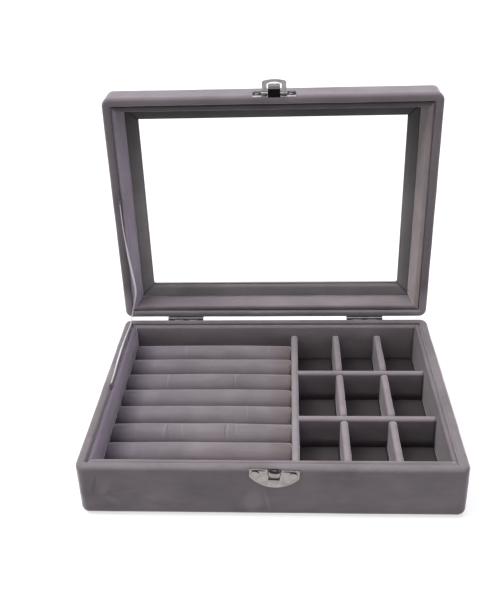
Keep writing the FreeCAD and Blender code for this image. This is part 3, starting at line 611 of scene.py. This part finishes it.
def slab_faces(rows, cols):
    """Faces of a slab: a grid of points, the same grid below it, and the rim between them."""
    off = rows * cols
    faces = []
    for i in range(rows - 1):
        for j in range(cols - 1):
            p, q = i * cols + j, (i + 1) * cols + j
            faces += [(p, q, q + 1, p + 1), (off + p, off + p + 1, off + q + 1, off + q)]
    rim = ([i * cols for i in range(rows)] + [(rows - 1) * cols + j for j in range(1, cols)]
           + [i * cols + cols - 1 for i in range(rows - 2, -1, -1)] + list(range(cols - 2, 0, -1)))
    for p, q in zip(rim, rim[1:] + rim[:1]):
        faces.append((p, off + p, off + q, q))
    return faces


def bar(section, places):
    """A closed section of (across, up) pairs, set at places of (origin, across, up, scale)."""
    points = []
    for origin, across, up, scale in places:
        o, a, u = np.array(origin), np.array(across), np.array(up)
        for s, h in section:
            points.append(o + a * s * scale[0] + u * h * scale[1])
    return np.array(points), tube_faces(len(places), len(section))


def rim_sides(x, front, back):
    """Start, end and inward direction of the strip along each side of the rim."""
    return {"front": ((-x, front, 0), (x, front, 0), (0, 1, 0)),
            "back": ((x, back, 0), (-x, back, 0), (0, -1, 0)),
            "left": ((-x, back, 0), (-x, front, 0), (1, 0, 0)),
            "right": ((x, front, 0), (x, back, 0), (-1, 0, 0))}


# ---- covers -------------------------------------------------------------------------------
def cover_skin(rows, seed, depth):
    """A closed skin over rows of (plan, corner radius, height), pushed in and out a little."""
    rings = []
    for plan, r, z in rows:
        ring = plan_ring(plan, r)
        rings.append(np.column_stack([ring, np.full(len(ring), z)]))
    flat = np.vstack(rings)
    centre = np.array([0, 0, flat[:, 2].mean()])
    near_side = np.abs(flat - centre) > np.array([HALF_W - 6, HALF_D - 6, 99])
    out = np.sign(flat - centre) * near_side
    push = field(flat, 34, seed) * depth + field(flat, 11, seed + 1) * depth * 0.35
    return flat + out * push[:, None], loop_faces(len(rows), len(rings[0]))


def make_base_cover():
    profile = (line((GROOVE_INSET, 12.0), (GROOVE_INSET, BASE_H - INNER_RIM_R), 6)
               + arc((GROOVE_INSET - INNER_RIM_R, BASE_H - INNER_RIM_R), INNER_RIM_R, 0, 90, 5)
               + [(2.9, BASE_H + 0.04)]
               + arc((RIM_R, BASE_H - RIM_R), RIM_R, 90, 180, 7)
               + line((0, BASE_H - RIM_R - 1.4), (0, FOOT_R), 16)
               + arc((FOOT_R, FOOT_R), FOOT_R, 180, 270, 8)
               + line((6.0, 0.02), (FELT_INSET + 0.3, 0.25), 2)
               + [(FELT_INSET + 0.3, 0.6), (4.8, 0.9), (4.8, 11.5)])
    rows = [(inset_plan(BASE_PLAN, i), max(CORNER_R - i, 0.5), z) for i, z in profile]
    points, faces = cover_skin(rows, 3, 0.10)
    add_piece("base_velvet", points, faces, "base", "velvet", ["base_velvet_cover"])


def make_lid_cover():
    profile = (line((GROOVE_INSET, FACING_Z - 1), (GROOVE_INSET, LID_Z0 + INNER_RIM_R), 5)
               + arc((GROOVE_INSET - INNER_RIM_R, LID_Z0 + INNER_RIM_R), INNER_RIM_R, 0, -90, 5)
               + [(2.9, LID_Z0 - 0.04)]
               + arc((RIM_R, LID_Z0 + RIM_R), RIM_R, 270, 180, 7)
               + line((0, LID_Z0 + RIM_R + 1.0), (0, LID_Z1 - TOP_R), 9)
               + arc((TOP_R, LID_Z1 - TOP_R), TOP_R, 180, 90, 7))
    rows = [(inset_plan(LID_PLAN, i), max(CORNER_R - i, 0.5), z) for i, z in profile]
    edge = np.array(inset_plan(LID_PLAN, TOP_R))
    win = np.array(WINDOW)
    for t in (0.12, 0.25, 0.4, 0.55, 0.7, 0.84, 0.93):
        rows.append((tuple(edge + (win - edge) * t), 1.5, LID_Z1 + 0.03))
    outward = np.array((-1, 1, -1, 1))
    for grow, z in ((0.75, LID_Z1 - 0.02), (0.3, LID_Z1 - 0.18), (0.08, LID_Z1 - 0.45),
                    (0, LID_Z1 - 0.9), (0, PANE_TOP + 0.05)):
        rows.append((tuple(win + outward * grow), 1.2 + grow, z))
    rows.append((tuple(win + outward * 5.0), 1.5, PANE_TOP + 0.15))
    rows.append((inset_plan(LID_PLAN, 5.0), 1.0, PANE_Z + 0.3))
    rows.append((inset_plan(LID_PLAN, 4.9), 0.5, FACING_Z - 0.6))
    points, faces = cover_skin(rows, 8, 0.09)
    add_piece("lid_velvet", points, faces, "lid", "velvet", ["lid_velvet_cover"], in_lid=True,
              material="lid_cover")


# ---- liners, dividers and pads ------------------------------------------------------------
def rounded_section(width, low, high, r, puff):
    """Upright padded section, width across and low to high; its +across face is puffed."""
    foot_r, n = 0.4, 6
    sec = [(foot_r, low), (width - foot_r, low), (width, low + foot_r)]
    for k in range(1, 10):
        t = k / 10
        z = low + foot_r + (high - r - low - foot_r) * t
        sec.append((width + puff * math.sin(math.pi * t) ** 0.7, z))
    sec += arc((width - r, high - r), r, 0, 90, n)
    sec += arc((r, high - r), r, 90, 180, n)[(1 if abs(width - 2 * r) < 1e-6 else 0):]
    sec += [(0, low + (high - r - low) * t) for t in (0.66, 0.33)] + [(0, low + foot_r)]
    return sec


def strip_mesh(section, start, end, across, seed, wave=0.12, end_round=0.0, mitre=False):
    """A bar from start to end; its ends are square, rounded over, or cut at 45 degrees."""
    step, up = 1.6, (0, 0, 1)
    start, end = np.array(start, float), np.array(end, float)
    length = np.linalg.norm(end - start)
    n = max(8, int(length / step))
    ts = [k / n for k in range(n + 1)]
    if end_round:
        extra = [end_round * f / length for f in (0.1, 0.3, 0.6)]
        ts = sorted(set([0.0, 1.0] + extra + [1 - e for e in extra]
                        + [t for t in ts if end_round / length < t < 1 - end_round / length]))
    places = []
    for t in ts:
        d = min(t, 1 - t) * length
        shrink = 1.0
        if end_round and d < end_round:
            shrink = math.sqrt(max(0.0, 1 - (1 - d / end_round) ** 2)) * 0.12 + 0.88
        places.append((start + (end - start) * t, across, up, (1.0, shrink)))
    points, faces = bar(section, places)
    a = np.array(across, float)
    h = np.array([sec[0] for sec in section] * len(places))
    weight = np.clip(h / max(h.max(), 1e-6), 0, 1)[:, None]
    t_all = np.repeat(ts, len(section))
    fade = 1.0
    if mitre:
        along = (end - start) / length
        points = points + along[None] * (h * (1 - 2 * t_all))[:, None]
        fade = np.clip(np.minimum(t_all, 1 - t_all) * length / 9.0, 0, 1)[:, None]
    puckers = field(points, 26, seed) * wave + field(points, 9, seed + 5) * wave * 0.35
    points = points + a * weight * fade * puckers[:, None]
    return points, faces


def make_base_liners():
    foot, top, radius, puff = 3.85, BASE_H - 1.0, 1.5, 0.22
    sec = rounded_section(LINER, foot, top, radius, puff)
    sides = rim_sides(HALF_W - LINER_INSET, LINER_INSET - HALF_D, HALF_D - LINER_INSET)
    looks = {"left": "liner_left", "right": "liner_right", "back": "liner_back"}
    for k, (side, (a, b, across)) in enumerate(sides.items()):
        points, faces = strip_mesh(sec, a, b, across, 20 + k, mitre=True)
        obj = add_piece(f"liner_{side}_soft", points, faces, "base", "velvet_padding",
                        [f"base_liner_{side}"], material=looks.get(side))


def lid_section(low, high, slant):
    """The lid's padded strip, thicker by slant at the window end than at the rim."""
    r, rise = 1.5, high - low - 1.5
    sec = arc((r, low + r), r, 180, 270, 6) + arc((LINER - r, low + r), r, 270, 360, 6)[1:]
    for j in range(1, 10):
        t = j / 9
        puff = 0.45 * math.sin(math.pi * t) ** 0.8
        sec.append((LINER + slant * t + puff, low + r + rise * t))
    return sec + [(0.0, high), (0.0, low + r + rise * 0.5)]


def make_lid_liners():
    slants = {"front": 1.5, "back": 0.6, "left": 2.0, "right": 2.6}
    sides = rim_sides(HALF_W - LINER_INSET, LID_FRONT + LINER_INSET, HALF_D - LINER_INSET)
    looks = {"left": "lid_left", "right": "lid_right", "front": "lid_front"}
    for k, (side, (a, b, across)) in enumerate(sides.items()):
        sec = lid_section(LID_Z0 + 1.0, FACING_Z, slants[side])
        points, faces = strip_mesh(sec, a, b, across, 40 + k, mitre=True)
        obj = add_piece(f"lid_liner_{side}_soft", points, faces, "lid", "velvet_padding",
                        [f"lid_liner_{side}"], True, looks.get(side, "lid_padding"))


def make_divider(name, section, runs, across, seed, replaces, **how):
    """A covered card in one or more straight runs, which ends at the cards that cross it."""
    points, faces = [], []
    for a, b in runs:
        run_points, run_faces = strip_mesh(section, a, b, across, seed, wave=0.1, **how)
        off = sum(map(len, points))
        faces += [tuple(off + v for v in face) for face in run_faces]
        points.append(run_points)
    add_piece(name, np.vstack(points), faces, "base", "velvet_board", [replaces])


def make_dividers():
    half, end_round, gap, sunk, tucked = DIVIDER_T / 2, 2.2, 0.05, 0.8, 1.6
    sec = rounded_section(DIVIDER_T, FLOOR_TOP - sunk, DIVIDER_TOP, 1.9, 0.0)
    sec = [(s - half, h) for s, h in sec]
    make_divider("partition_velvet", sec, [((PARTITION_X, -INNER_Y, 0), (PARTITION_X, INNER_Y, 0))],
                 (1, 0, 0), 60, "partition_board", end_round=end_round)
    stops = [-INNER_Y, *(y + s * (half + gap) for y in GRID_Y for s in (-1, 1)), INNER_Y]
    for k, x in enumerate(GRID_X, 1):
        runs = [((x, a, 0), (x, b, 0)) for a, b in zip(stops[::2], stops[1::2])]
        make_divider(f"divider_long_{k}_velvet", sec, runs, (1, 0, 0), 62 + k,
                     f"grid_divider_long_{k}", end_round=end_round)
    for k, y in enumerate(GRID_Y, 1):
        runs = [((PARTITION_X + tucked, y, 0), (INNER_X, y, 0))]
        make_divider(f"divider_cross_{k}_velvet", sec, runs, (0, 1, 0), 66 + k,
                     f"grid_divider_cross_{k}")


def cell_lines(cells):
    """Grid lines that crowd at both edges of each cell."""
    out = []
    for a, b in cells:
        for d in (0.0, 0.3, 0.6, 1.0, 1.7):
            out += [a + d, b - d]
        out += list(np.linspace(a + 3, b - 3, max(2, int((b - a) / 3))))
    return np.array(sorted(set(np.round(out, 4))))


def edge_distance(values, cells):
    return np.min([np.minimum(np.abs(values - a), np.abs(values - b)) for a, b in cells], axis=0)


def make_floor():
    """The velvet floor, which dips into a seam along every wall and divider."""
    half, bottom_z = DIVIDER_T / 2, 3.8
    xs = [(-INNER_X, PARTITION_X - half), (PARTITION_X + half, GRID_X[0] - half),
          (GRID_X[0] + half, GRID_X[1] - half), (GRID_X[1] + half, INNER_X)]
    ys = [(-INNER_Y, GRID_Y[0] - half), (GRID_Y[0] + half, GRID_Y[1] - half),
          (GRID_Y[1] + half, INNER_Y)]
    X, Y = np.meshgrid(cell_lines(xs), cell_lines(ys), indexing="ij")
    d = np.minimum(edge_distance(X, xs), edge_distance(Y, ys)).ravel()
    plan = np.column_stack([X.ravel(), Y.ravel()])
    flat = np.column_stack([plan, np.zeros(X.size)])
    z = FLOOR_TOP - 1.0 * np.exp(-(d / 0.55) ** 2) + 0.10 * field(flat, 22, 71)
    points = np.vstack([np.column_stack([plan, z]),
                        np.column_stack([plan, np.full(X.size, bottom_z)])])
    obj = add_piece("tray_floor_velvet", points, slab_faces(*X.shape), "base", "velvet_padding",
                    ["tray_floor_pad"], material="floor_velvet")


# ---- ring rolls ---------------------------------------------------------------------------
# Pinched creases of each roll, front roll first: (share of the length, depth in mm).
ROLL_CREASES = [[(0.70, 0.15)], [(0.42, 0.55), (0.70, 0.45)], [(0.76, 0.4)], [(0.38, 0.15)],
                [(0.31, 0.5), (0.70, 0.4)], [(0.55, 0.15)], [(0.34, 0.5), (0.86, 0.35)]]
ROLL_TUCK = 1.1        # the left end's foot presses this far into the padded strip
ROLL_LEAN = 3.6        # and its crest stands this far to the right of its foot
ROLL_RIGHT = 0.3       # the right end reaches this far past the rod's
BOW_END, BOW_MIDDLE = 0.25, 0.55       # the crest rises so far at its ends, so much more between
VOXEL = 1.5            # the remeshed cloth's grid


def roll_tube(low, high, creases):
    """The roll before it is blown up: a closed tube, flat below, pinched at its creases."""
    yc, length = (low[1] + high[1]) / 2, high[0] - low[0]
    r = (high[1] - low[1]) / 2 - 0.25
    n_around, n_along = 40, 84
    points = []
    for i in range(n_along + 1):
        t = i / n_along
        end = min(t, 1 - t) * length
        shrink = 0.975 + 0.025 * math.sqrt(min(1.0, 1 - (1 - min(end, 2.0) / 2.0) ** 2))
        crease = sum(depth * math.exp(-((t - place) * length / 0.9) ** 2) for place, depth in creases)
        for j in range(n_around):
            angle = 2 * math.pi * j / n_around
            pinch = crease * (0.5 + 0.5 * math.cos(angle + 0.6))
            rr = r * shrink - pinch
            y, z = yc - rr * math.cos(angle), high[2] - r - 0.2 + rr * math.sin(angle)
            points.append((low[0] + length * t, y, max(z, low[2])))
    return np.array(points), tube_faces(n_along + 1, n_around)


def blow_up(obj, pinned, frames=20, pressure=4.0, cap=0.9):
    """Remeshes obj and inflates it as cloth; pinned(points in mm) says which points are held.

    Gives the new points in mm; none has moved by more than cap.
    """
    depsgraph = bpy.context.evaluated_depsgraph_get
    remesh = obj.modifiers.new("remesh", "REMESH")
    remesh.mode, remesh.voxel_size = "VOXEL", VOXEL * MM
    mesh = bpy.data.meshes.new_from_object(obj.evaluated_get(depsgraph()))
    obj.modifiers.clear()
    obj.data = mesh
    rest = np.array([v.co for v in mesh.vertices]) / MM
    group = obj.vertex_groups.new(name="held")
    held = np.nonzero(pinned(rest))[0]
    group.add([int(k) for k in held], 1.0, "REPLACE")
    cloth = obj.modifiers.new("cloth", "CLOTH")
    s = cloth.settings
    s.vertex_group_mass = "held"
    s.use_pressure, s.uniform_pressure_force = True, pressure
    s.quality = 4
    s.tension_stiffness = s.compression_stiffness = 12
    s.bending_stiffness = 0.4
    s.effector_weights.gravity = 0
    cloth.collision_settings.use_collision = False
    scene = bpy.context.scene
    for f in range(1, frames + 1):
        scene.frame_set(f)
    moved = bpy.data.meshes.new_from_object(obj.evaluated_get(depsgraph()))
    blown = np.array([v.co for v in moved.vertices]) / MM
    obj.modifiers.clear()
    obj.vertex_groups.clear()
    scene.frame_set(1)
    step = blown - rest
    length = np.linalg.norm(step, axis=1, keepdims=True)
    step *= np.minimum(1.0, cap / np.maximum(length, 1e-9))
    return rest + step


def held_points(p, low, high, creases):
    """The roll's foot, its two ends and the front half of its creases stay where they are."""
    held = (p[:, 2] < low[2] + 0.6) | (p[:, 0] < low[0] + 0.8) | (p[:, 0] > high[0] - 0.8)
    front_half = p[:, 1] < (low[1] + high[1]) / 2
    for place, _ in creases:
        held |= (np.abs(p[:, 0] - low[0] - (high[0] - low[0]) * place) < 0.7) & front_half
    return held


def settle_roll(p, low, high, k):
    """Uneven stuffing, then the lean of the left end and the bow of the crest."""
    uneven = np.column_stack([field(p, 30, 90 + k) * 0.06, field(p, 38, 97 + k) * 0.12])
    p[:, 1:] += uneven
    p[:, 1] = np.clip(p[:, 1], low[1] - 0.02, high[1] + 0.02)
    share = (np.clip(p[:, 0], low[0], high[0]) - low[0]) / (high[0] - low[0])
    height = np.clip((p[:, 2] - low[2]) / (high[2] - low[2]), 0, 1)
    left = low[0] - ROLL_TUCK + ROLL_LEAN * height
    p[:, 0] = left + (high[0] + ROLL_RIGHT - left) * share
    p[:, 2] = np.clip(p[:, 2], low[2], high[2] + 0.1)
    bow = BOW_END + BOW_MIDDLE * np.sin(math.pi * share) ** 0.8
    p[:, 2] += bow * np.clip((p[:, 2] - low[2]) / 16, 0, 1)
    return p


def make_rolls():
    for k, creases in enumerate(ROLL_CREASES):
        low, high = (np.array(v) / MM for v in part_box(f"ring_roll_{k + 1}"))
        points, faces = roll_tube(low, high, creases)
        obj = smooth_mesh(f"roll_{k + 1}_soft", points * MM, faces, "roll_velvet")
        p = blow_up(obj, lambda rest: held_points(rest, low, high, creases))
        p = settle_roll(p, low, high, k)
        obj.data.vertices.foreach_set("co", (p * MM).astype(np.float32).ravel())
        obj.data.update()
        obj.data.materials.clear()
        obj.data.materials.append(M["roll_velvet"])
        obj.data.polygons.foreach_set("use_smooth", [True] * len(obj.data.polygons))
        sub = obj.modifiers.new("smooth", "SUBSURF")
        sub.levels = sub.render_levels = 1
        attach(obj, "base")
        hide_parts(f"ring_roll_{k + 1}")


# ---- window facings -----------------------------------------------------------------------
def make_facings():
    """Four mitred cards round the window; each rounds over at its ends and its inner edge."""
    x, yf, yb = HALF_W - LINER_INSET, LID_FRONT + LINER_INSET, HALF_D - LINER_INSET
    wx0, wx1, wf, wb = WINDOW
    quads = {"front": ((-x, yf), (x, yf), (wx1, wf), (wx0, wf)),
             "back": ((x, yb), (-x, yb), (wx0, wb), (wx1, wb)),
             "left": ((-x, yb), (-x, yf), (wx0, wf), (wx0, wb)),
             "right": ((x, yf), (x, yb), (wx1, wb), (wx1, wf))}
    us = np.array([0, .004, .01, .02, .035, *np.linspace(.06, .94, 60), .965, .98, .99, .996, 1])
    vs = np.array([0, .15, .3, .45, .6, .75, .85, .93, .97, 1.0])
    U, V = np.meshgrid(us, vs, indexing="ij")
    for k, (side, quad) in enumerate(quads.items()):
        a, b, c, d = map(np.array, quad)
        outer = a[None, None] + (b - a)[None, None] * U[..., None]
        inner = d[None, None] + (c - d)[None, None] * U[..., None]
        plan = (outer + (inner - outer) * V[..., None]).reshape(-1, 2)
        end = np.minimum(np.minimum(U, 1 - U) * np.linalg.norm(b - a), 50) * 0.7
        inner_edge = (1 - V) * (np.linalg.norm((outer - inner)[0, 0]) * 0.72)
        z = FACING_Z + 1.1 * np.exp(-(end / 0.55) ** 2) + 1.0 * np.exp(-(inner_edge / 1.1) ** 2)
        top = np.column_stack([plan, z.ravel()])
        top[:, 2] += 0.05 * field(top, 18, 110 + k)
        back = np.column_stack([plan, np.full(U.size, PANE_Z)])
        add_piece(f"facing_{side}_velvet", np.vstack([top, back]), slab_faces(*U.shape), "lid",
                  "dark_velvet", [f"window_facing_{side}"], in_lid=True)


# ---- ribbon -------------------------------------------------------------------------------
# The ribbon's route, from its end in the base to its end in the lid.
CORD_ROUTE = [
    (-0.0972, -0.0020, 0.0330), (-0.0972, 0.0070, 0.0330), (-0.0978, 0.0210, 0.0333),
    (-0.0983, 0.0380, 0.0330), (-0.0980, 0.0550, 0.0332), (-0.0976, 0.0660, 0.0330),
    (-0.0973, 0.0718, 0.0344), (-0.0966, 0.0740, 0.0396), (-0.0945, 0.0738, 0.0472),
    (-0.0925, 0.0733, 0.0556), (-0.0936, 0.0732, 0.0675), (-0.0956, 0.0736, 0.0830),
    (-0.0969, 0.0740, 0.0980), (-0.0974, 0.0740, 0.1090), (-0.0974, 0.0740, 0.1185),
]
CORD_LENGTH, CORD_WIDTH, RIBBON_T = 0.1588, 0.0012, 0.00022       # in metres, as the route is
# How far the ribbon is turned about its own line, along its length: (share, degrees).
RIBBON_TURNS = [(0, 82), (0.05, 75), (0.10, 72), (0.20, 60), (0.30, 66), (0.38, 74), (0.54, 72),
                (0.60, 35), (0.68, 15), (0.76, 40), (0.84, 78), (1.0, 89)]
TURNS_FROM = (-0.05, -0.82, 0.57)      # at 0 degrees the ribbon's flat side looks this way


def spline_points():
    curve = bpy.data.curves.new("route", "CURVE")
    curve.dimensions = "3D"
    spline = curve.splines.new("NURBS")
    spline.points.add(len(CORD_ROUTE) - 1)
    for point, place in zip(spline.points, CORD_ROUTE):
        point.co = (*place, 1)
    spline.order_u = 3
    spline.use_endpoint_u = True
    spline.resolution_u = 16
    obj = bpy.data.objects.new("route", curve)
    bpy.context.scene.collection.objects.link(obj)
    mesh = bpy.data.meshes.new_from_object(obj.evaluated_get(bpy.context.evaluated_depsgraph_get()))
    points = np.array([v.co for v in mesh.vertices])
    bpy.data.objects.remove(obj)
    return points


def make_ribbon():
    line_points = spline_points()
    tangent = np.gradient(line_points, axis=0)
    tangent /= np.linalg.norm(tangent, axis=1, keepdims=True)
    run = np.concatenate([[0], np.cumsum(np.linalg.norm(np.diff(line_points, axis=0), axis=1))])
    share = run / run[-1]
    turn = np.radians(np.interp(share, *zip(*RIBBON_TURNS)))
    toward = np.array(TURNS_FROM)
    facing = toward - tangent * (tangent @ toward)[:, None]
    facing /= np.linalg.norm(facing, axis=1, keepdims=True)
    side = np.cross(tangent, facing)
    normal = facing * np.cos(turn)[:, None] + side * np.sin(turn)[:, None]
    across = np.cross(normal, tangent)
    w, t = CORD_WIDTH / 2, RIBBON_T / 2
    section = [(-w, -t * 0.4), (-w * 0.6, -t), (0, -t), (w * 0.6, -t), (w, -t * 0.4),
               (w, t * 0.4), (w * 0.6, t), (0, t), (-w * 0.6, t), (-w, t * 0.4)]
    points = np.array([p + a * s + n * h for p, a, n in zip(line_points, across, normal)
                       for s, h in section])
    faces = tube_faces(len(line_points), len(section))
    obj = smooth_mesh("stay_ribbon", points, faces, "satin_ribbon")
    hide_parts("stay_cord")
    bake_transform(obj)


# ---- nail heads ---------------------------------------------------------------------------
def make_nails(name, centres, material, replaces, body, in_lid=False):
    """Pressed nail heads, round over the edge; they look towards -Y."""
    points, faces = [], []
    n, rings, radius, height = 32, 12, 2.3, 0.8
    for cx, cy, cz in centres:
        off = len(points)
        for k in range(rings):
            bend = math.pi / 2 * k / rings
            r, out = radius * math.cos(bend), height * math.sin(bend) ** 0.75
            for j in range(n):
                angle = 2 * math.pi * j / n
                points.append((cx + r * math.cos(angle), cy - out, cz + r * math.sin(angle)))
        points.append((cx, cy - height, cz))
        top = len(points) - 1
        faces += [tuple(off + v for v in f) for f in loop_faces(rings, n, wrap_rows=False)]
        last = off + (rings - 1) * n
        faces += [(last + j, last + (j + 1) % n, top) for j in range(n)]
        faces.append(tuple(off + j for j in range(n))[::-1])
    add_piece(name, points, faces, body, "nickel_plate", replaces, in_lid, material)


def make_latch_nails():
    """Two nails in the catch, which is a little tilted, and two in the hasp, which is level."""
    c, s = math.cos(LATCH_TILT), math.sin(LATCH_TILT)
    across, up = 9.95, 1.4             # from the middle of the catch, along its own axes
    catch_y, catch_z, hasp_y, hasp_z, hasp_across = -78.05, 27.0, -76.7, 37.3, 10.2
    in_catch = [(LATCH_X + side * across * c + up * s, catch_y,
                 catch_z - side * across * s + up * c) for side in (-1, 1)]
    in_hasp = [(LATCH_X + side * hasp_across, hasp_y, hasp_z) for side in (-1, 1)]
    make_nails("catch_nail_heads", in_catch, "nail_metal", ["catch_nails"], "base")
    make_nails("hasp_nail_heads", in_hasp, "hasp_metal", ["hasp_nails"], "lid", in_lid=True)


# ---- the CAD nodes that stay --------------------------------------------------------------
# Looks by the start of the node's name; the others take the look of their slot.
SPECIAL = {"hinge": "hinge_metal", "catch_plate": "catch_metal", "hasp_plate": "hasp_metal",
           "hasp_nails": "hasp_metal", "hasp_loop": "loop_metal", "stay_end": "ribbon_tuck_painted_shade",
           "ring_roll_board": "dark_velvet", "lid_top_frame": "dark_board",
           "base_wall": "dark_board", "base_bottom": "dark_board"}


def dress_nodes():
    slots = {s["node"]: s["material_slot"] for s in frame["record"]["subparts"]}
    for name, obj in NODES.items():
        if obj.hide_render:
            continue
        obj.data.materials.clear()
        special = next((m for start, m in SPECIAL.items() if name.startswith(start)), slots[name])
        obj.data.materials.append(M[special])
        if slots[name] == "nickel_plate":
            bevel = obj.modifiers.new("edges", "BEVEL")
            bevel.width, bevel.segments, bevel.limit_method = 0.00007, 2, "ANGLE"
            bevel.angle_limit = math.radians(40)
            bevel.harden_normals = False


make_camera()
make_stage()
make_ribbon()
make_base_cover()
make_lid_cover()
make_base_liners()
make_lid_liners()
make_dividers()
make_floor()
make_rolls()
make_facings()
make_latch_nails()
dress_nodes()
